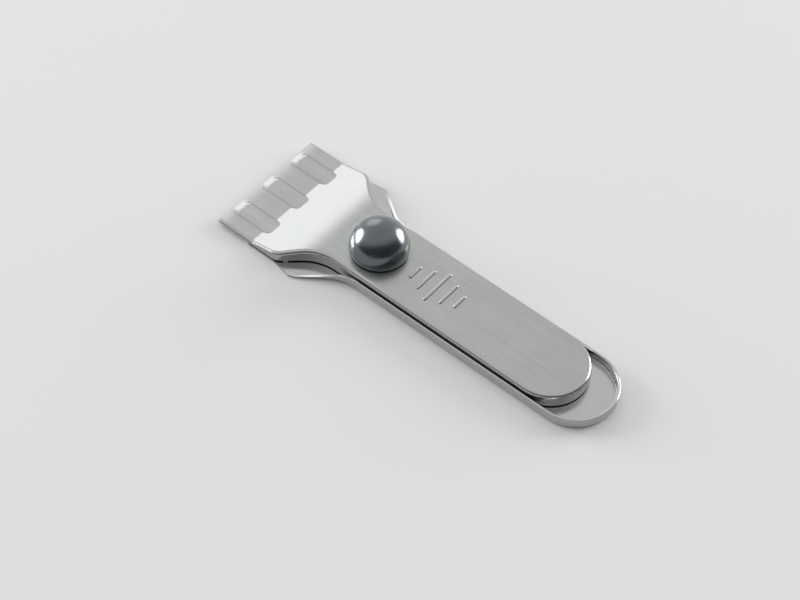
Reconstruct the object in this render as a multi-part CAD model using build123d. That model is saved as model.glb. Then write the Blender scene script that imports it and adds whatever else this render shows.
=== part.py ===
from build123d import *
import math
import os

# Ceramic hob scraper with a sliding upper plate, in millimetres.
# +X runs from the blade's end to the tail of the handle, +Y across, +Z up.
# The origin is the centre of the footprint, on the surface that the scraper lies on.
# The upper plate is pushed forward over the blade's edge, which is its guarded state.

# Pressed sheet, shared by both plates
sheet = 0.8
bend_radius = 1.1

# Lower tray
handle_width = 27.0
tray_length = 124.2
tray_side_length = 20.3
tray_flare_angle = 37.0
tray_shoulder_radius_share = 0.38
tray_neck_radius_share = 1.5
tray_step_run = 7.0
tray_corner_radius = 4.0
tray_depth = 3.9
tray_wall_rise_run = 19.5
tray_wall_run_shares = (0, 0.3, 0.57, 0.85, 1)
tray_wall_rise_shares = (0, 0.14, 0.48, 0.9, 1)
rim_round = 0.3
pad_length = 20.0
pad_collar_gap = 0.1
pad_rise = 0.2
pad_slope_angle = 45.0
pad_corner_radius = 2.0

# Upper cover
cover_side_length = 21.4
cover_flare_angle = 43.0
cover_shoulder_radius_share = 0.55
cover_neck_radius_share = 1.64
cover_setback = 9.2
slide_travel = 7.4
cover_gap = 0.3
blade_gap = 0.2
nose_length = 13.5
ramp_run = 15.6
cover_top_height = 5.8
nose_bend_radius = 2.5
nose_droop_run = 4.0
nose_droop_radius = 50.0
crest_bend_radius = 38.0
flange_floor_gap = 0.5

# Embossings that run over the pegs
emboss_height = 0.55
emboss_base_width = 6.8
emboss_slope_run = 0.9
emboss_front_slope_run = 2.6
emboss_front_inset = 0.15
emboss_corner_radius = 2.1
emboss_buried_length = 0.8
emboss_run_shares = (0, 0.25, 0.5, 0.75, 1)
emboss_rise_shares = (0, 0.14, 0.5, 0.86, 1)

# Grip ribs across the handle
rib_width = 1.1
rib_height = 0.45
rib_round = 0.4
rib_pitch = 4.25
rib_longest = 13.1
rib_length_shares = (0.43, 0.68, 1, 0.68, 0.43)
rib_middle_behind_knob = 22.6

# Blade and its pegs
blade_width = 40.0
blade_side_margin = 2.8
blade_depth = 22.0
blade_thickness = 0.3
blade_overhang = 5.0
blade_bevel = 0.9
blade_edge_thickness = 0.05
blade_corner_radius = 0.8
peg_pitch_share = 0.33
peg_diameter = 4.0
peg_clearance = 0.2
peg_rise = 0.45
peg_chamfer = 0.2
peg_collar_diameter = 5.2
peg_shank_diameter = 2.4

# Clamp: threaded bush, screw, washer and domed knob
knob_behind_tray_front = 36.9
screw_diameter = 4.0
screw_clearance = 0.05
slot_clearance = 0.25
screw_tip_recess = 0.3
screw_tip_chamfer = 0.4
screw_head_flats = 7.0
screw_head_height = 2.8
bush_diameter = 8.0
bush_spigot_diameter = 6.0
bush_top_gap = 0.2
bush_chamfer = 0.3
washer_diameter = 13.0
washer_thickness = 0.5
washer_running_gap = 0.1
knob_diameter = 18.8
knob_skirt_height = 1.1
knob_rim_gap = 0.3
knob_rim_round = 0.3
knob_wall = 1.8
knob_boss_diameter = 11.0

# One overrun serves every cut
overrun = 1.0

# Sizes and places worked out from the ones above
head_width = blade_width + blade_side_margin * 2
peg_pitch = blade_width * peg_pitch_share
pad_width = peg_pitch * 2 - peg_collar_diameter - pad_collar_gap * 2
total_length = tray_length + cover_setback
cover_front = -total_length / 2
tray_front = cover_front + cover_setback
tray_tail = tray_front + tray_length
tray_shoulder = tray_front + tray_side_length
cover_shoulder = cover_front + cover_side_length
cover_inset = sheet + cover_gap
knob_x = tray_front + knob_behind_tray_front
blade_bottom = sheet + pad_rise
blade_top = blade_bottom + blade_thickness
nose_top = blade_top + blade_gap + sheet
cover_floor = sheet + flange_floor_gap
ramp_angle = math.atan2(cover_top_height - nose_top, ramp_run)
bend_x = cover_front + nose_length
crest_x = bend_x + ramp_run
blade_front = tray_front - blade_overhang
peg_x = blade_front + blade_depth / 2
inner_bend_radius = bend_radius - sheet
half_head = head_width / 2
half_handle = handle_width / 2
wide = half_head + overrun
cover_tail = tray_tail - cover_setback - cover_inset
peg_places = (-peg_pitch, 0, peg_pitch)
pad_slope_run = pad_rise / math.tan(math.radians(pad_slope_angle))
washer_bottom = cover_top_height + washer_running_gap
washer_top = washer_bottom + washer_thickness
knob_rim = cover_top_height + knob_rim_gap
dome_centre = knob_rim + knob_skirt_height
screw_head_bottom = dome_centre
threaded_bore = screw_diameter + screw_clearance * 2


# Plan outlines: where each plate begins, turns and ends, how wide it is and how its sides flare
tray_plan = {
    "front": tray_front, "shoulder": tray_shoulder, "tail": tray_tail,
    "half_head": half_head, "half_handle": half_handle, "step": cover_inset,
    "flare_angle": tray_flare_angle,
    "shoulder_radius": (half_head - half_handle) * tray_shoulder_radius_share,
    "neck_radius": (half_head - half_handle) * tray_neck_radius_share,
}
cover_plan = {
    "front": cover_front, "shoulder": cover_shoulder, "tail": cover_tail,
    "half_head": half_head - cover_inset, "half_handle": half_handle - cover_inset, "step": 0,
    "flare_angle": cover_flare_angle,
    "shoulder_radius": (half_head - half_handle) * cover_shoulder_radius_share,
    "neck_radius": (half_head - half_handle) * cover_neck_radius_share,
}


def box_between(x0, x1, y0, y1, z0, z1):
    """A box from its lowest and highest corners."""
    return Pos((x0 + x1) / 2, (y0 + y1) / 2, (z0 + z1) / 2) * Box(x1 - x0, y1 - y0, z1 - z0)


def cylinder_between(x, y, z0, z1, diameter):
    """An upright cylinder between two heights."""
    return Pos(x, y, (z0 + z1) / 2) * Cylinder(diameter / 2, z1 - z0)


def plate_outline(plan, inset, lead=0):
    """Plan outline of a plate, drawn in by inset along its sides and tail and led forward by lead.

    In front of the shoulder a plate with a step is narrower by it on either side.
    """
    front = plan["front"] - lead
    shoulder = plan["shoulder"]
    head_half = plan["half_head"] - inset
    handle_half = plan["half_handle"] - inset
    convex = plan["shoulder_radius"] - inset
    concave = plan["neck_radius"] + inset
    turn = math.radians(plan["flare_angle"])
    arc_drop = (convex + concave) * (1 - math.cos(turn))
    slant = (head_half - handle_half - arc_drop) / math.sin(turn)
    shoulder_end_x = shoulder + convex * math.sin(turn)
    shoulder_end_y = head_half - convex * (1 - math.cos(turn))
    neck_start_x = shoulder_end_x + slant * math.cos(turn)
    neck_start_y = shoulder_end_y - slant * math.sin(turn)
    neck_end_x = neck_start_x + concave * math.sin(turn)
    middle_turn = turn / 2
    shoulder_middle = (shoulder + convex * math.sin(middle_turn),
                       head_half - convex * (1 - math.cos(middle_turn)))
    neck_middle = (neck_end_x - concave * math.sin(middle_turn),
                   handle_half + concave * (1 - math.cos(middle_turn)))
    tail = plan["tail"] - inset
    tail_centre = tail - handle_half
    front_half = head_half - plan["step"]
    if plan["step"] > 0:
        side = Polyline((front, front_half), (shoulder - tray_step_run, front_half), (shoulder, head_half))
    else:
        side = Line((front, head_half), (shoulder, head_half))
    left_side = [
        *side.edges(),
        ThreePointArc((shoulder, head_half), shoulder_middle, (shoulder_end_x, shoulder_end_y)),
        Line((shoulder_end_x, shoulder_end_y), (neck_start_x, neck_start_y)),
        ThreePointArc((neck_start_x, neck_start_y), neck_middle, (neck_end_x, handle_half)),
        Line((neck_end_x, handle_half), (tail_centre, handle_half)),
    ]
    tail_arc = ThreePointArc((tail_centre, handle_half), (tail, 0), (tail_centre, -handle_half))
    right_side = [mirror(edge, about=Plane.XZ) for edge in left_side]
    front_edge = Line((front, front_half), (front, -front_half))
    return make_face([*left_side, tail_arc, *right_side, front_edge])


def plate_prism(plan, inset, z0, z1, lead=0):
    """The plan outline as an upright prism between two heights."""
    return extrude(Pos(0, 0, z0) * plate_outline(plan, inset, lead), z1 - z0)


def rounded_along_outline(block, low, high, radius):
    """Rounds the edges of a plate block that follow its outline between two heights."""
    edges = block.edges().filter_by_position(Axis.Z, low, high)
    straight = edges.filter_by(Axis.Y) + edges.filter_by(Axis.Z)
    return fillet(edges - straight, radius)


def side_profile(drop, front, tail, low):
    """Region under the cover's top surface, lowered by drop, seen from the side."""
    shift = drop * math.tan(ramp_angle / 2)
    nose = Vector(bend_x + shift, nose_top - drop)
    crest = Vector(crest_x + shift, cover_top_height - drop)
    nose_reach = (nose_bend_radius + drop) * math.tan(ramp_angle / 2)
    crest_reach = (crest_bend_radius - drop) * math.tan(ramp_angle / 2)
    along = Vector(math.cos(ramp_angle), math.sin(ramp_angle))
    flat = Vector(1, 0)
    nose_in = nose - flat * nose_reach
    nose_out = nose + along * nose_reach
    crest_in = crest - along * crest_reach
    crest_out = crest + flat * crest_reach
    droop_radius = nose_droop_radius - drop
    droop_start = Vector(cover_front + nose_droop_run, nose.Y)
    droop_turn = math.asin((droop_start.X - front) / droop_radius)
    front_end = Vector(front, nose.Y - droop_radius * (1 - math.cos(droop_turn)))
    edges = [
        TangentArc(droop_start, front_end, tangent=-flat),
        Line(droop_start, nose_in),
        TangentArc(nose_in, nose_out, tangent=flat),
        Line(nose_out, crest_in),
        TangentArc(crest_in, crest_out, tangent=along),
        Line(crest_out, (tail, crest.Y)),
        Line((tail, crest.Y), (tail, low)),
        Line((tail, low), (front, low)),
        Line((front, low), front_end),
    ]
    return make_face(edges)


def side_prism(drop, front, tail, low):
    """The side profile as a prism across the whole width."""
    upright = Plane.XZ * side_profile(drop, front, tail, low)
    return extrude(upright, wide, both=True)


def rounded_bar(x0, x1, width, corner, z):
    """A rounded rectangle lying along X at one height."""
    return Pos((x0 + x1) / 2, 0, z) * RectangleRounded(x1 - x0, width, corner)


def make_lower_tray():
    tray = tray_walls() + tray_head()
    above_head = box_between(tray_front, tray_shoulder, -half_head, half_head, 0, blade_bottom)
    tray += blade_pad(sheet, 0) & above_head
    holes = [cylinder_between(peg_x, y, -overrun, sheet + overrun, peg_shank_diameter) for y in peg_places]
    holes.append(cylinder_between(knob_x, 0, -overrun, sheet + overrun, bush_spigot_diameter))
    holes.append(blade_pad(0, sheet * math.tan(math.radians(pad_slope_angle) / 2)))
    return tray - holes


def tray_walls():
    """The handle and neck of the tray, with its wall rising from the shoulder."""
    zone = box_between(tray_shoulder, tray_tail + overrun, -wide, wide, -overrun, tray_depth + overrun)
    outside = plate_prism(tray_plan, 0, 0, tray_depth) & zone
    outside = rounded_along_outline(outside, -overrun, sheet, bend_radius)
    inside = plate_prism(tray_plan, sheet, sheet, tray_depth + overrun)
    inside = rounded_along_outline(inside, 0, tray_depth, inner_bend_radius)
    walls = outside - inside
    rim = walls.edges().filter_by_position(Axis.Z, tray_depth - rim_round, tray_depth)
    walls = fillet(rim - rim.filter_by(Axis.Y) - rim.filter_by(Axis.Z), rim_round)
    return walls - above_wall()


def above_wall():
    """What lies over the tray's wall where it rises from the shoulder to its full height."""
    points = [(tray_shoulder + tray_wall_rise_run * run_share, sheet + (tray_depth - sheet) * rise_share)
              for run_share, rise_share in zip(tray_wall_run_shares, tray_wall_rise_shares)]
    over = tray_depth + overrun
    front = tray_shoulder - overrun
    back_to_foot = Polyline(points[-1], (points[-1][0], over), (front, over), (front, sheet), points[0])
    return extrude(Plane.XZ * make_face([Spline(points), *back_to_foot.edges()]), wide, both=True)


def tray_head():
    """The flat sheet in front of the shoulder, as narrow as the cover, with round front corners."""
    zone = box_between(tray_front - overrun, tray_shoulder, -wide, wide, -overrun, sheet + overrun)
    head = plate_prism(tray_plan, 0, 0, sheet) & zone
    return fillet(head.edges().filter_by(Axis.Z).group_by(Axis.X)[0], tray_corner_radius)


def blade_pad(base, inner):
    """The pressed pad that carries the blade, drawn in by inner, standing on the height base."""
    front = tray_front - pad_corner_radius - overrun
    rear = tray_front + pad_length - inner
    low = rounded_bar(front, rear, pad_width - inner * 2, pad_corner_radius - inner, base)
    high = rounded_bar(front, rear - pad_slope_run, pad_width - (inner + pad_slope_run) * 2,
                       pad_corner_radius - inner - pad_slope_run, base + pad_rise)
    return loft([low, high], ruled=True)


def make_peg(y):
    on_pad = abs(y) < pad_width / 2
    foot = pad_rise if on_pad else 0
    seat = foot + sheet
    peg = cylinder_between(peg_x, y, foot, seat, peg_shank_diameter)
    if not on_pad:
        peg += cylinder_between(peg_x, y, seat, blade_bottom, peg_collar_diameter)
    pin = cylinder_between(peg_x, y, blade_bottom, blade_top + peg_rise, peg_diameter)
    pin = chamfer(pin.edges().group_by(Axis.Z)[-1], peg_chamfer)
    return peg + pin


def make_blade():
    flat = extrude(Pos(0, 0, blade_bottom) * rounded_blade_outline(), blade_thickness)
    middle = (blade_bottom + blade_top) / 2
    edge_half = blade_edge_thickness / 2
    bevel_end = blade_front + blade_bevel
    rear = blade_front + blade_depth + overrun
    section = make_face(Polyline((blade_front, middle - edge_half), (bevel_end, blade_bottom),
                                 (rear, blade_bottom), (rear, blade_top), (bevel_end, blade_top),
                                 (blade_front, middle + edge_half), close=True))
    blade = flat & extrude(Plane.XZ * section, blade_width, both=True)
    return blade - [cylinder_between(peg_x, y, 0, blade_top + overrun, peg_diameter + peg_clearance * 2)
                    for y in peg_places]


def rounded_blade_outline():
    """Blade plan with rounded rear corners and a straight cutting edge."""
    outline = Pos(blade_front + blade_depth / 2, 0) * Rectangle(blade_depth, blade_width)
    rear_corners = outline.vertices().group_by(Axis.X)[-1]
    return fillet(rear_corners, blade_corner_radius)


def make_upper_cover():
    rear = bend_x + emboss_height / math.tan(ramp_angle)
    front = cover_front + emboss_front_inset
    inner = sheet * math.tan(math.atan2(emboss_height, emboss_slope_run) / 2)
    pads = embossing(front, rear + emboss_buried_length, 0, nose_top)
    hollows = embossing(front, rear + sheet * 2, inner, nose_top - sheet)
    cover = cover_shell() + [Pos(0, y, 0) * pads for y in peg_places] + grip_ribs()
    cuts = [Pos(0, y, 0) * hollows for y in peg_places]
    cuts.append(screw_slot())
    return cover - cuts


def cover_shell():
    """The cover's sheet with the flange that hangs from its edge, open in front."""
    top = cover_top_height + overrun
    outside = plate_prism(cover_plan, 0, 0, top)
    outside &= side_prism(0, cover_front, cover_tail + overrun, 0)
    outside = rounded_along_outline(outside, nose_top - sheet, top, bend_radius)
    inside = plate_prism(cover_plan, sheet, 0, top, overrun)
    inside &= side_prism(sheet, cover_front - overrun, cover_tail + overrun, 0)
    inside = rounded_along_outline(inside, nose_top - sheet * 2, top, inner_bend_radius)
    return (outside - inside) & box_between(cover_front, cover_tail, -wide, wide, cover_floor, top)


def screw_slot():
    """The slot along which the cover slides past the screw, which stands at its rear end."""
    width = screw_diameter + slot_clearance * 2
    plan = SlotOverall(slide_travel + width, width)
    return extrude(Pos(knob_x - slide_travel / 2, 0, 0) * plan, cover_top_height + overrun)


def grip_ribs():
    """Five low bars across the handle, longest in the middle."""
    middle = knob_x + rib_middle_behind_knob
    ribs = []
    for index, share in enumerate(rib_length_shares):
        x = middle + (index - (len(rib_length_shares) - 1) / 2) * rib_pitch
        plan = Rot(0, 0, 90) * SlotOverall(rib_longest * share, rib_width)
        plan = Pos(x, 0, cover_top_height - sheet / 2) * plan
        rib = extrude(plan, sheet / 2 + rib_height)
        ribs.append(fillet(rib.edges().group_by(Axis.Z)[-1], rib_round))
    return ribs


def embossing(front, rear, inner, base):
    """One long raised pad with soft sloping sides, drawn in by inner, standing on the height base.

    Its front slopes over a longer run, and a foot below it follows the nose where that droops.
    """
    sections = []
    for run_share, rise_share in zip(emboss_run_shares, emboss_rise_shares):
        front_in = inner + emboss_front_slope_run * run_share
        drawn_in = inner + emboss_slope_run * run_share
        sections.append(rounded_bar(front + front_in, rear - drawn_in, emboss_base_width - drawn_in * 2,
                                    emboss_corner_radius - drawn_in, base + emboss_height * rise_share))
    foot = rounded_bar(front + inner, bend_x, emboss_base_width - inner * 2, emboss_corner_radius - inner,
                       base)
    return loft(sections, ruled=True) + extrude(foot, -sheet / 2)


def make_clamp_nut():
    top = cover_top_height - sheet - bush_top_gap
    body = cylinder_between(knob_x, 0, sheet, top, bush_diameter)
    body = chamfer(body.edges().group_by(Axis.Z)[-1], bush_chamfer)
    nut = body + cylinder_between(knob_x, 0, 0, sheet, bush_spigot_diameter)
    return nut - cylinder_between(knob_x, 0, -overrun, top + overrun, threaded_bore)


def make_knob_washer():
    ring = cylinder_between(knob_x, 0, washer_bottom, washer_top, washer_diameter)
    return ring - cylinder_between(knob_x, 0, washer_bottom - overrun, washer_top + overrun, threaded_bore)


def screw_head():
    """The hexagonal head that the knob is moulded round."""
    hexagon = RegularPolygon(screw_head_flats / 2, 6, major_radius=False)
    return extrude(Pos(knob_x, 0, screw_head_bottom) * hexagon, screw_head_height)


def make_clamp_screw():
    shank = cylinder_between(knob_x, 0, screw_tip_recess, screw_head_bottom, screw_diameter)
    shank = chamfer(shank.edges().group_by(Axis.Z)[0], screw_tip_chamfer)
    return shank + screw_head()


def make_knob_cap():
    radius = knob_diameter / 2
    dome = Pos(knob_x, 0, dome_centre) * Sphere(radius)
    above = box_between(knob_x - radius, knob_x + radius, -radius, radius, dome_centre, dome_centre + radius)
    skirt = cylinder_between(knob_x, 0, knob_rim, dome_centre, knob_diameter)
    outside = (dome & above) + skirt
    outside = fillet(outside.edges().group_by(Axis.Z)[0], knob_rim_round)
    inner_radius = radius - knob_wall
    hollow = (Pos(knob_x, 0, dome_centre) * Sphere(inner_radius)) & above
    hollow += cylinder_between(knob_x, 0, knob_rim - overrun, dome_centre, inner_radius * 2)
    hollow -= cylinder_between(knob_x, 0, washer_top, dome_centre + radius, knob_boss_diameter)
    cap = outside - hollow
    cap -= cylinder_between(knob_x, 0, knob_rim - overrun, screw_head_bottom, screw_diameter)
    return cap - screw_head()


os.makedirs("parts", exist_ok=True)
nodes = {
    "lower_tray": make_lower_tray(),
    "blade_peg_left": make_peg(-peg_pitch),
    "blade_peg_middle": make_peg(0),
    "blade_peg_right": make_peg(peg_pitch),
    "clamp_nut": make_clamp_nut(),
    "blade": make_blade(),
    "upper_cover": make_upper_cover(),
    "knob_washer": make_knob_washer(),
    "clamp_screw": make_clamp_screw(),
    "knob_cap": make_knob_cap(),
}
for name, shape in nodes.items():
    export_step(shape, "parts/" + name + ".step")
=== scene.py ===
import bpy
import math
from mathutils import Matrix, Vector

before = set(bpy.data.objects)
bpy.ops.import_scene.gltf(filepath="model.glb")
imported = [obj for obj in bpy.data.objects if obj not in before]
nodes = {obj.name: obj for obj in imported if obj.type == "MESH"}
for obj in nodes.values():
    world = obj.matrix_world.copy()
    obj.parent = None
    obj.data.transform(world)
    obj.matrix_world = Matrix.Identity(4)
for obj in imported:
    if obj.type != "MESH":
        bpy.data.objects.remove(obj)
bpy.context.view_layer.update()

# Camera: its place in metres, the three turns in degrees that aim it, its lens and sensor in mm
camera_place = Vector((0.22159, -0.30786, 0.48061))
camera_azimuth = 37.15
camera_elevation = 51.90
camera_roll = 3.27
camera_lens = 91.7
camera_sensor = 36.0
camera_clip_start = 0.01

# Table top: its side in metres and its colour
floor_size = 6.0
floor_color = (0.70, 0.70, 0.713)

# Room light: bright overhead and on the far side, dim low down behind the camera. The turn
# values say how far a direction leans toward the bright side where the change starts and ends.
room_bright_side = Vector((-0.6, 0.4, 1.0))
room_dim = 0.10
room_bright = 0.83
room_turn_from = 0.0
room_turn_to = 0.65

# Window patch in the room light, beyond the blade's end, with a soft border
patch_side = Vector((-0.73, 0.49, 0.46)).normalized()
patch_gain = 1.35
patch_turn_from = 0.925
patch_turn_to = 0.985

# Softboxes: direction seen from the scraper, distance, width, height and radiance
softboxes = {
    "window_left": ((-0.93, -0.30, 0.14), 1.5, 0.95, 1.05, 7.0),
    "window_right": ((0.42, 0.90, 0.15), 1.5, 0.90, 1.00, 7.0),
}
# Watts per square metre that give an area light one unit of radiance
watts_per_radiance = 4.0

# Patterns: stretch along x, y and z, then the noise's scale, detail and roughness. Stretch times
# scale is how often a pattern repeats in a metre.
evenly = (1.0, 1.0, 1.0)
rolling_grain = ((22.0, 620.0, 620.0), 1.0, 1.0, 0.5)
handling_clouds = (evenly, 95.0, 3.0, 0.55)
cross_grind = ((900.0, 4200.0, 900.0), 1.0, 3.0, 0.6)
oil_film = (evenly, 160.0, 2.0, 0.5)
turning_rings = ((700.0, 700.0, 6000.0), 1.0, 2.0, 0.5)
metal_spots = (evenly, 900.0, 2.0, 0.5)
finger_smear = (evenly, 260.0, 3.0, 0.6)
mould_texture = (evenly, 420.0, 2.0, 0.5)

# The band in the middle of a pattern's values that is spread over a finish's whole range
sheet_band = (0.36, 0.64)
pattern_band = (0.35, 0.65)

# Pressed sheet: colour, then lowest and highest roughness
cover_sheet = ((0.462, 0.474, 0.460), 0.22, 0.28)
tray_sheet = ((0.53, 0.535, 0.525), 0.17, 0.24)
sheet_dark_share = 0.94
sheet_tone_grain = 0.5
sheet_tone_clouds = 0.5
sheet_gloss_grain = 0.4
sheet_gloss_clouds = 0.6

# Blade: colour of the flat and of the ground steel, roughness, depth and strength of the relief
blade_dark = (0.46, 0.47, 0.50)
blade_light = (0.60, 0.61, 0.63)
blade_roughness = (0.16, 0.28)
blade_relief = (0.000003, 0.7)

# Turned pieces: colour and middle roughness, then what they share
peg_steel = ((0.58, 0.57, 0.56), 0.30)
fastener_zinc = ((0.62, 0.62, 0.60), 0.32)
washer_steel = ((0.60, 0.60, 0.60), 0.28)
turned_dark_share = 0.88
turned_roughness_shares = (0.85, 1.2)
turned_relief = (0.000004, 0.6)

# Knob: black plastic under a clear gloss, with a cool sheen
knob_dark = (0.006, 0.007, 0.008)
knob_light = (0.011, 0.012, 0.013)
knob_roughness = (0.19, 0.26)
knob_relief = (0.00002, 0.6)
knob_gloss = {
    "IOR": 1.9,
    "Specular Tint": (0.75, 0.87, 1.0, 1.0),
    "Coat Weight": 1.0,
    "Coat Roughness": 0.19,
    "Coat IOR": 1.7,
}

# Places of a colour Mix node's sockets, whose names repeat
mix_share, mix_first, mix_second, mix_result = 0, 6, 7, 2


class Value:
    """An output in a finish's node tree, on which sums are written as plain Python."""

    def __init__(self, finish, socket):
        self.finish = finish
        self.socket = socket

    def math(self, operation, other):
        return self.finish.node("Math", {"operation": operation}, {0: self, 1: other})

    def __add__(self, other):
        return self.math("ADD", other)

    __radd__ = __add__

    def __mul__(self, other):
        return self.math("MULTIPLY", other)

    __rmul__ = __mul__


class Finish:
    """A node tree that is built one node at a time."""

    def __init__(self, tree):
        self.tree = tree
        tree.nodes.clear()

    def node(self, kind, settings, sockets, output=0):
        """Adds one node: its settings first, then the values or links of its sockets."""
        made = self.tree.nodes.new("ShaderNode" + kind)
        for key, value in settings.items():
            setattr(made, key, value)
        for key, value in sockets.items():
            if isinstance(value, Value):
                self.tree.links.new(value.socket, made.inputs[key])
            else:
                made.inputs[key].default_value = value
        return Value(self, made.outputs[output]) if made.outputs else made

    def pattern(self, repeats, scale, detail, roughness):
        """Smooth noise from 0 to 1 on the piece itself, with its middle near a half."""
        point = self.node("TexCoord", {}, {}, "Object")
        stretched = self.node("Mapping", {}, {"Vector": point, "Scale": repeats})
        return self.node("TexNoise", {}, {"Vector": stretched, "Scale": scale, "Detail": detail,
                                          "Roughness": roughness})

    def spread(self, value, band, low, high):
        """Maps a band of values to low and high, held at its ends."""
        return self.node("MapRange", {"clamp": True},
                         {"Value": value, "From Min": band[0], "From Max": band[1],
                          "To Min": low, "To Max": high})

    def blend(self, share, first, second):
        """A colour between two colours."""
        return self.node("Mix", {"data_type": "RGBA"},
                         {mix_share: share, mix_first: (*first, 1.0), mix_second: (*second, 1.0)},
                         mix_result)

    def relief(self, height, depth, strength):
        """Small relief, as a normal."""
        return self.node("Bump", {}, {"Height": height, "Distance": depth, "Strength": strength})


def new_finish(name):
    material = bpy.data.materials.new(name)
    material.use_nodes = True
    return material, Finish(material.node_tree)


def close_surface(finish, sockets):
    """Ends a finish in one principled surface."""
    surface = finish.node("BsdfPrincipled", {}, sockets)
    finish.node("OutputMaterial", {}, {"Surface": surface})


def darker(tint, share):
    return tuple(channel * share for channel in tint)


def pressed_sheet_finish(name, tint, roughness_low, roughness_high):
    """Satin stainless sheet, rolled along the scraper, with faint handling marks."""
    material, finish = new_finish(name)
    grain = finish.pattern(*rolling_grain)
    clouds = finish.pattern(*handling_clouds)
    tone = finish.spread(grain * sheet_tone_grain + clouds * sheet_tone_clouds, sheet_band, 0.0, 1.0)
    gloss = clouds * sheet_gloss_clouds + grain * sheet_gloss_grain
    close_surface(finish, {
        "Base Color": finish.blend(tone, darker(tint, sheet_dark_share), tint),
        "Metallic": 1.0,
        "Roughness": finish.spread(gloss, sheet_band, roughness_low, roughness_high),
    })
    return material


def ground_blade_finish():
    """Hardened blade steel, finely cross-ground, under a patchy film of oil."""
    material, finish = new_finish("ground_blade")
    grind = finish.pattern(*cross_grind)
    film = finish.pattern(*oil_film)
    close_surface(finish, {
        "Base Color": finish.blend(film, blade_dark, blade_light),
        "Metallic": 1.0,
        "Roughness": finish.spread(grind, pattern_band, *blade_roughness),
        "Normal": finish.relief(grind, *blade_relief),
    })
    return material


def turned_steel_finish(name, tint, roughness):
    """Plain turned steel, such as pegs, the bush, the screw and the washer."""
    material, finish = new_finish(name)
    rings = finish.pattern(*turning_rings)
    spots = finish.pattern(*metal_spots)
    roughness_range = [roughness * share for share in turned_roughness_shares]
    close_surface(finish, {
        "Base Color": finish.blend(spots, darker(tint, turned_dark_share), tint),
        "Metallic": 1.0,
        "Roughness": finish.spread(rings, pattern_band, *roughness_range),
        "Normal": finish.relief(rings, *turned_relief),
    })
    return material


def knob_plastic_finish():
    """Glossy black moulded plastic with a trace of handling."""
    material, finish = new_finish("knob_black_gloss")
    smear = finish.pattern(*finger_smear)
    mould = finish.pattern(*mould_texture)
    close_surface(finish, {
        "Base Color": finish.blend(smear, knob_dark, knob_light),
        "Roughness": finish.spread(smear, pattern_band, *knob_roughness),
        "Normal": finish.relief(mould, *knob_relief),
        **knob_gloss,
    })
    return material


def dress(names, material):
    """Gives the named CAD nodes one finish."""
    for name in names:
        mesh = nodes[name].data
        mesh.materials.clear()
        mesh.materials.append(material)


def dress_all():
    dress(["upper_cover"], pressed_sheet_finish("cover_sheet", *cover_sheet))
    dress(["lower_tray"], pressed_sheet_finish("tray_sheet", *tray_sheet))
    dress(["blade"], ground_blade_finish())
    dress(["blade_peg_left", "blade_peg_middle", "blade_peg_right"],
          turned_steel_finish("peg_steel", *peg_steel))
    dress(["clamp_nut", "clamp_screw"], turned_steel_finish("fastener_zinc", *fastener_zinc))
    dress(["knob_washer"], turned_steel_finish("washer_steel", *washer_steel))
    dress(["knob_cap"], knob_plastic_finish())


def add_camera():
    lens = bpy.data.cameras.new("scraper_camera")
    lens.lens = camera_lens
    lens.sensor_width = camera_sensor
    lens.clip_start = camera_clip_start
    camera = bpy.data.objects.new("scraper_camera", lens)
    turn = Matrix.Rotation(math.radians(camera_azimuth), 4, "Z")
    tilt = Matrix.Rotation(math.radians(90.0 - camera_elevation), 4, "X")
    roll = Matrix.Rotation(math.radians(camera_roll), 4, "Z")
    camera.matrix_world = Matrix.Translation(camera_place) @ turn @ tilt @ roll
    bpy.context.scene.collection.objects.link(camera)
    bpy.context.scene.camera = camera


def add_floor():
    half = floor_size / 2
    mesh = bpy.data.meshes.new("table_top")
    corners = [(-half, -half, 0.0), (half, -half, 0.0), (half, half, 0.0), (-half, half, 0.0)]
    mesh.from_pydata(corners, [], [(0, 1, 2, 3)])
    floor = bpy.data.objects.new("table_top", mesh)
    material, finish = new_finish("table_top")
    matt = finish.node("BsdfDiffuse", {}, {"Color": (*floor_color, 1.0)})
    finish.node("OutputMaterial", {}, {"Surface": matt})
    mesh.materials.append(material)
    bpy.context.scene.collection.objects.link(floor)


def add_softbox(name, direction, distance, width, height, radiance):
    lamp = bpy.data.lights.new(name, "AREA")
    lamp.shape = "ELLIPSE"
    lamp.size = width
    lamp.size_y = height
    lamp.energy = radiance * watts_per_radiance * width * height
    softbox = bpy.data.objects.new(name, lamp)
    away = Vector(direction).normalized()
    softbox.location = away * distance
    softbox.rotation_euler = away.to_track_quat("Z", "Y").to_euler()
    bpy.context.scene.collection.objects.link(softbox)


def add_room_light():
    """A world that is bright overhead and on the far side, and brightest beyond the blade's end."""
    world = bpy.data.worlds.new("room")
    bpy.context.scene.world = world
    world.use_nodes = True
    finish = Finish(world.node_tree)
    direction = finish.node("TexCoord", {}, {}, "Generated")

    def toward(side, turn_from, turn_to, low, high):
        """Low away from a side and high toward it, with a smooth change between."""
        facing = finish.node("VectorMath", {"operation": "DOT_PRODUCT"},
                             {0: direction, 1: tuple(side)}, "Value")
        return finish.node("MapRange", {"interpolation_type": "SMOOTHSTEP"},
                           {"Value": facing, "From Min": turn_from, "From Max": turn_to,
                            "To Min": low, "To Max": high})

    room = toward(room_bright_side, room_turn_from, room_turn_to, room_dim, room_bright)
    patch = toward(patch_side, patch_turn_from, patch_turn_to, 1.0, 1.0 + patch_gain)
    background = finish.node("Background", {}, {"Color": room * patch, "Strength": 1.0})
    finish.node("OutputWorld", {}, {"Surface": background})


dress_all()
add_camera()
add_floor()
add_room_light()
for softbox_name, softbox in softboxes.items():
    add_softbox(softbox_name, *softbox)
bpy.context.scene.view_settings.view_transform = "Standard"
